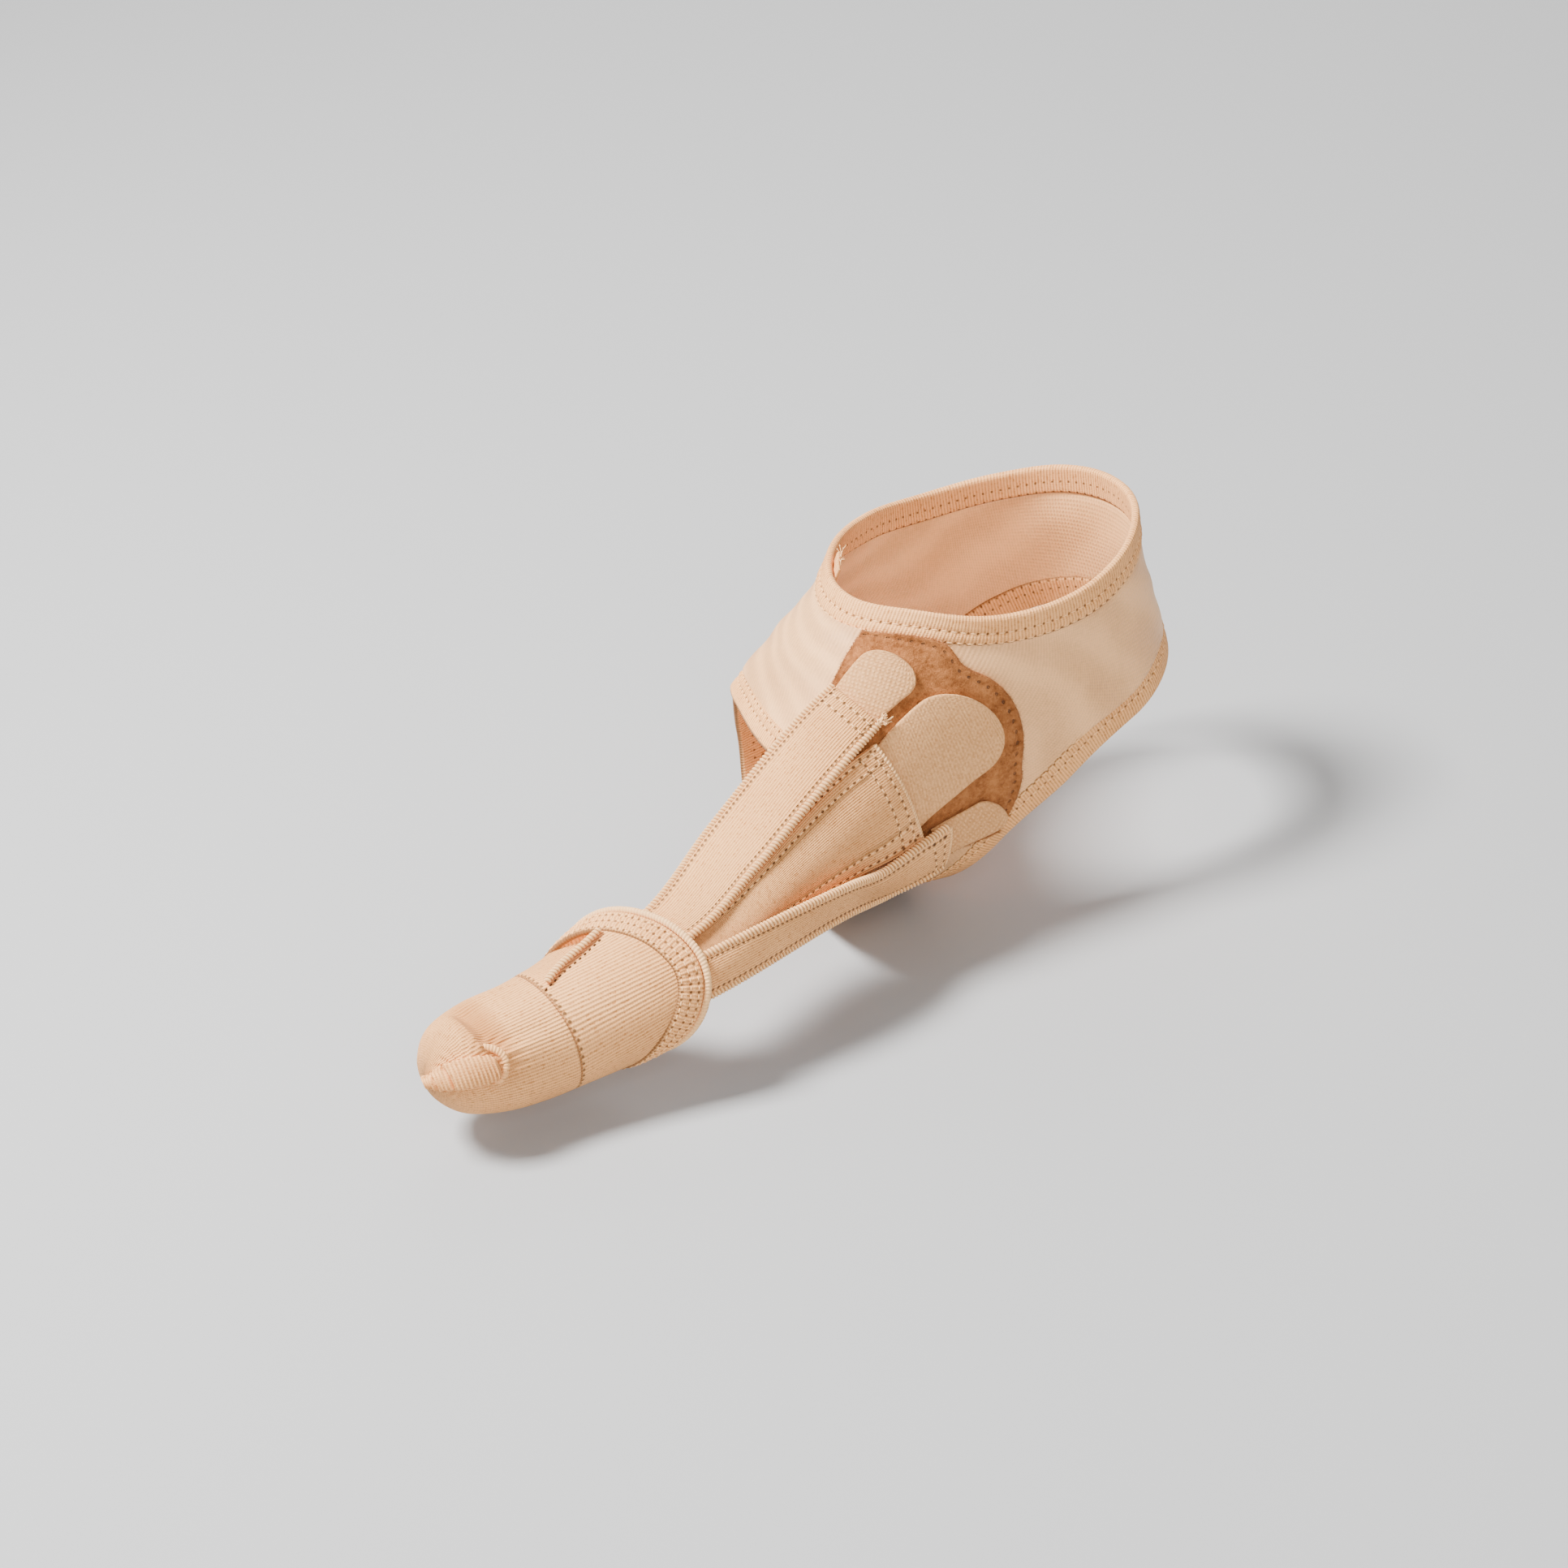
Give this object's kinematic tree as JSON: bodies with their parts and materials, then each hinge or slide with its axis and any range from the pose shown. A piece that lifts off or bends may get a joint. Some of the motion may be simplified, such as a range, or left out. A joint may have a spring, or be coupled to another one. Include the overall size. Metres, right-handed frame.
{
  "type": "bunion corrector",
  "caption": "Soft bunion corrector for a right foot: knit ankle wrap open at the heel, felt pad, straps closed by hook tabs, and a knit toe cap.",
  "frame": {"origin": "on the sole plane of the right foot that wears it, below the ankle", "axes": "toes to -X, heel to +X, inner side of the foot to -Y, up +Z"},
  "size_m": [0.2375, 0.1009, 0.0917],
  "materials": {
    "knit": "smooth fine knit with a soft sheen",
    "binding": "ribbed knit binding with dotted stitching",
    "strap_knit": "ribbed elastic knit",
    "hook_tape": "matte woven tape with fine hooks",
    "felt": "brushed matte felt",
    "overlock": "matte sewing thread"
  },
  "bodies": {
    "root": {"ankle_wrap": "knit", "top_binding": "binding", "front_hem": "binding", "heel_binding": "binding", "binding_end": "overlock", "felt_pad": "felt", "upper_tab": "hook_tape", "middle_tab": "hook_tape", "lower_tab": "hook_tape", "upper_strap": "strap_knit", "upper_strap_edge_top": "overlock", "upper_strap_edge_low": "overlock", "middle_strap": "strap_knit", "lower_strap": "strap_knit", "lower_strap_edge_top": "overlock", "lower_strap_edge_low": "overlock", "toe_cap": "strap_knit", "cuff_panel": "strap_knit", "cuff_hem": "binding", "cuff_piping": "overlock", "cuff_side_edge": "overlock", "tip_seam": "overlock"}
  },
  "joints": []
}
